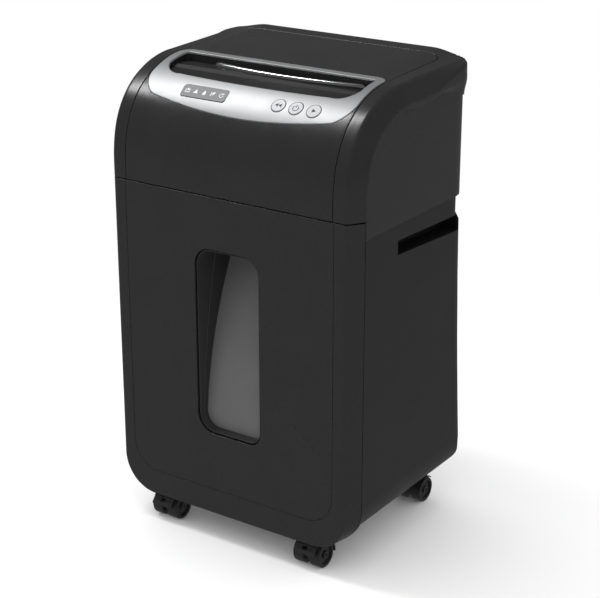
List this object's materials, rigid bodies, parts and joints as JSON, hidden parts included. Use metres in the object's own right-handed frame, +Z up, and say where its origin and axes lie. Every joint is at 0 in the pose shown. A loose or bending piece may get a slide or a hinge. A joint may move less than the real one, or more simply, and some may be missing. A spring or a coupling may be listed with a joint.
{
  "type": "paper shredder",
  "caption": "Tall black pull-out-bin paper shredder with a curved head, silver control panel, window in the bin front and hooded twin-wheel casters.",
  "frame": {"origin": "on the floor under the middle of the overall footprint", "axes": "+Z up, -Y out of the bin's front, +X to the user's right when facing along +Y"},
  "size_m": [0.3666, 0.2823, 0.6104],
  "materials": {
    "satin_black": "satin moulded black",
    "inner_black": "matt moulded black",
    "silver_panel": "silver painted, satin gloss",
    "bright_chrome": "polished",
    "smoke_window": "grey translucent",
    "indicator_white": "translucent white",
    "button_silver": "pale silver, satin",
    "cutter_steel": "ground and oiled",
    "plate_steel": "zinc-plated sheet",
    "zinc_screw": "blackened zinc",
    "bronze_bush": "sintered bronze",
    "gear_steel": "sintered steel, greased",
    "gear_nylon": "natural nylon",
    "motor_can": "black lacquered steel",
    "circuit_board": "green solder resist",
    "rubber_black": "matt",
    "caster_black": "matt nylon",
    "wheel_black": "satin nylon"
  },
  "bodies": {
    "root": {"bin_rails": "inner_black", "cabinet_floor": "satin_black", "cabinet_rear": "satin_black", "caster_sockets": "caster_black", "control_bezel": "silver_panel", "control_board": "circuit_board", "cord_gland": "rubber_black", "cutter_plate_left": "plate_steel", "cutter_plate_right": "plate_steel", "display_window": "smoke_window", "feed_throat": "inner_black", "gear_guard": "plate_steel", "grip_cups": "inner_black", "guide_bar": "bright_chrome", "head_base": "inner_black", "head_fascia": "satin_black", "head_screws": "zinc_screw", "head_shell": "satin_black", "idler_pin": "plate_steel", "indicator_lights": "indicator_white", "motor": "motor_can", "motor_saddle": "inner_black", "power_board": "circuit_board", "rear_grille": "inner_black", "sensor_switches": "inner_black", "shaft_bushes": "bronze_bush", "side_panel_left": "satin_black", "side_panel_right": "satin_black", "stripper_combs": "inner_black", "tactile_switches": "inner_black", "tie_rods": "plate_steel"},
    "bin": {"bin_front": "satin_black", "bin_tub": "inner_black", "bin_rim": "inner_black", "window_pane": "smoke_window", "window_surround": "inner_black"},
    "reverse_key": {"reverse_button": "button_silver"},
    "power_key": {"power_button": "button_silver"},
    "forward_key": {"forward_button": "button_silver"},
    "cutter_front": {"cutter_shaft_front": "cutter_steel", "shaft_gear_front": "gear_steel"},
    "cutter_rear": {"cutter_shaft_rear": "cutter_steel", "shaft_gear_rear": "gear_steel", "drive_gear": "gear_steel"},
    "reduction_gear": {"idler_gear": "gear_nylon"},
    "motor_shaft": {"motor_pinion": "gear_steel"},
    "caster_front_left": {"caster_housing_front_left": "caster_black"},
    "wheel_front_left_left": {"caster_wheel_front_left_left": "wheel_black"},
    "wheel_front_left_right": {"caster_wheel_front_left_right": "wheel_black"},
    "brake_front_left": {"brake_lever_front_left": "caster_black"},
    "caster_front_right": {"caster_housing_front_right": "caster_black"},
    "wheel_front_right_left": {"caster_wheel_front_right_left": "wheel_black"},
    "wheel_front_right_right": {"caster_wheel_front_right_right": "wheel_black"},
    "brake_front_right": {"brake_lever_front_right": "caster_black"},
    "caster_rear_left": {"caster_housing_rear_left": "caster_black"},
    "wheel_rear_left_left": {"caster_wheel_rear_left_left": "wheel_black"},
    "wheel_rear_left_right": {"caster_wheel_rear_left_right": "wheel_black"},
    "caster_rear_right": {"caster_housing_rear_right": "caster_black"},
    "wheel_rear_right_left": {"caster_wheel_rear_right_left": "wheel_black"},
    "wheel_rear_right_right": {"caster_wheel_rear_right_right": "wheel_black"}
  },
  "joints": [
    {"name": "bin_slide", "type": "slide", "parent": "root", "child": "bin", "axis": [0, -1, 0], "range_m": [0, 0.2]},
    {"name": "reverse_press", "type": "slide", "parent": "root", "child": "reverse_key", "axis": [0, 0.599, -0.8007], "range_m": [0, 0.001], "stiffness_N_per_m": 1500},
    {"name": "power_press", "type": "slide", "parent": "root", "child": "power_key", "axis": [0, 0.599, -0.8007], "range_m": [0, 0.001], "stiffness_N_per_m": 1500},
    {"name": "forward_press", "type": "slide", "parent": "root", "child": "forward_key", "axis": [0, 0.599, -0.8007], "range_m": [0, 0.001], "stiffness_N_per_m": 1500},
    {"name": "cutter_front_spin", "type": "hinge", "parent": "root", "child": "cutter_front", "pos_m": [0.02, -0.052, 0.497], "axis": [1, 0, 0], "continuous": true},
    {"name": "cutter_rear_spin", "type": "hinge", "parent": "root", "child": "cutter_rear", "pos_m": [0.02, -0.012, 0.497], "axis": [1, 0, 0], "continuous": true},
    {"name": "reduction_spin", "type": "hinge", "parent": "root", "child": "reduction_gear", "pos_m": [0.155, 0.0434, 0.5068], "axis": [1, 0, 0], "continuous": true},
    {"name": "motor_spin", "type": "hinge", "parent": "root", "child": "motor_shaft", "pos_m": [0.145, 0.0702, 0.4913], "axis": [1, 0, 0], "continuous": true},
    {"name": "front_left_swivel", "type": "hinge", "parent": "root", "child": "caster_front_left", "pos_m": [-0.112, -0.105, 0.038], "axis": [0, 0, 1], "continuous": true},
    {"name": "front_left_left_roll", "type": "hinge", "parent": "caster_front_left", "child": "wheel_front_left_left", "pos_m": [-0.12375, -0.119, 0.017], "axis": [1, 0, 0], "continuous": true},
    {"name": "front_left_right_roll", "type": "hinge", "parent": "caster_front_left", "child": "wheel_front_left_right", "pos_m": [-0.10025, -0.119, 0.017], "axis": [1, 0, 0], "continuous": true},
    {"name": "front_left_brake", "type": "hinge", "parent": "caster_front_left", "child": "brake_front_left", "pos_m": [-0.112, -0.13382, 0.03131], "axis": [1, 0, 0], "range_deg": [0, 12]},
    {"name": "front_right_swivel", "type": "hinge", "parent": "root", "child": "caster_front_right", "pos_m": [0.112, -0.105, 0.038], "axis": [0, 0, 1], "continuous": true},
    {"name": "front_right_left_roll", "type": "hinge", "parent": "caster_front_right", "child": "wheel_front_right_left", "pos_m": [0.10025, -0.119, 0.017], "axis": [1, 0, 0], "continuous": true},
    {"name": "front_right_right_roll", "type": "hinge", "parent": "caster_front_right", "child": "wheel_front_right_right", "pos_m": [0.12375, -0.119, 0.017], "axis": [1, 0, 0], "continuous": true},
    {"name": "front_right_brake", "type": "hinge", "parent": "caster_front_right", "child": "brake_front_right", "pos_m": [0.112, -0.13382, 0.03131], "axis": [1, 0, 0], "range_deg": [0, 12]},
    {"name": "rear_left_swivel", "type": "hinge", "parent": "root", "child": "caster_rear_left", "pos_m": [-0.126, 0.088, 0.038], "axis": [0, 0, 1], "continuous": true},
    {"name": "rear_left_left_roll", "type": "hinge", "parent": "caster_rear_left", "child": "wheel_rear_left_left", "pos_m": [-0.13775, 0.102, 0.017], "axis": [1, 0, 0], "continuous": true},
    {"name": "rear_left_right_roll", "type": "hinge", "parent": "caster_rear_left", "child": "wheel_rear_left_right", "pos_m": [-0.11425, 0.102, 0.017], "axis": [1, 0, 0], "continuous": true},
    {"name": "rear_right_swivel", "type": "hinge", "parent": "root", "child": "caster_rear_right", "pos_m": [0.126, 0.088, 0.038], "axis": [0, 0, 1], "continuous": true},
    {"name": "rear_right_left_roll", "type": "hinge", "parent": "caster_rear_right", "child": "wheel_rear_right_left", "pos_m": [0.11425, 0.102, 0.017], "axis": [1, 0, 0], "continuous": true},
    {"name": "rear_right_right_roll", "type": "hinge", "parent": "caster_rear_right", "child": "wheel_rear_right_right", "pos_m": [0.13775, 0.102, 0.017], "axis": [1, 0, 0], "continuous": true}
  ],
  "couplings": [
    {"joint": "cutter_rear_spin", "follows": "cutter_front_spin", "ratio": -1},
    {"joint": "reduction_spin", "follows": "cutter_front_spin", "ratio": 4},
    {"joint": "motor_spin", "follows": "cutter_front_spin", "ratio": -16.667}
  ]
}
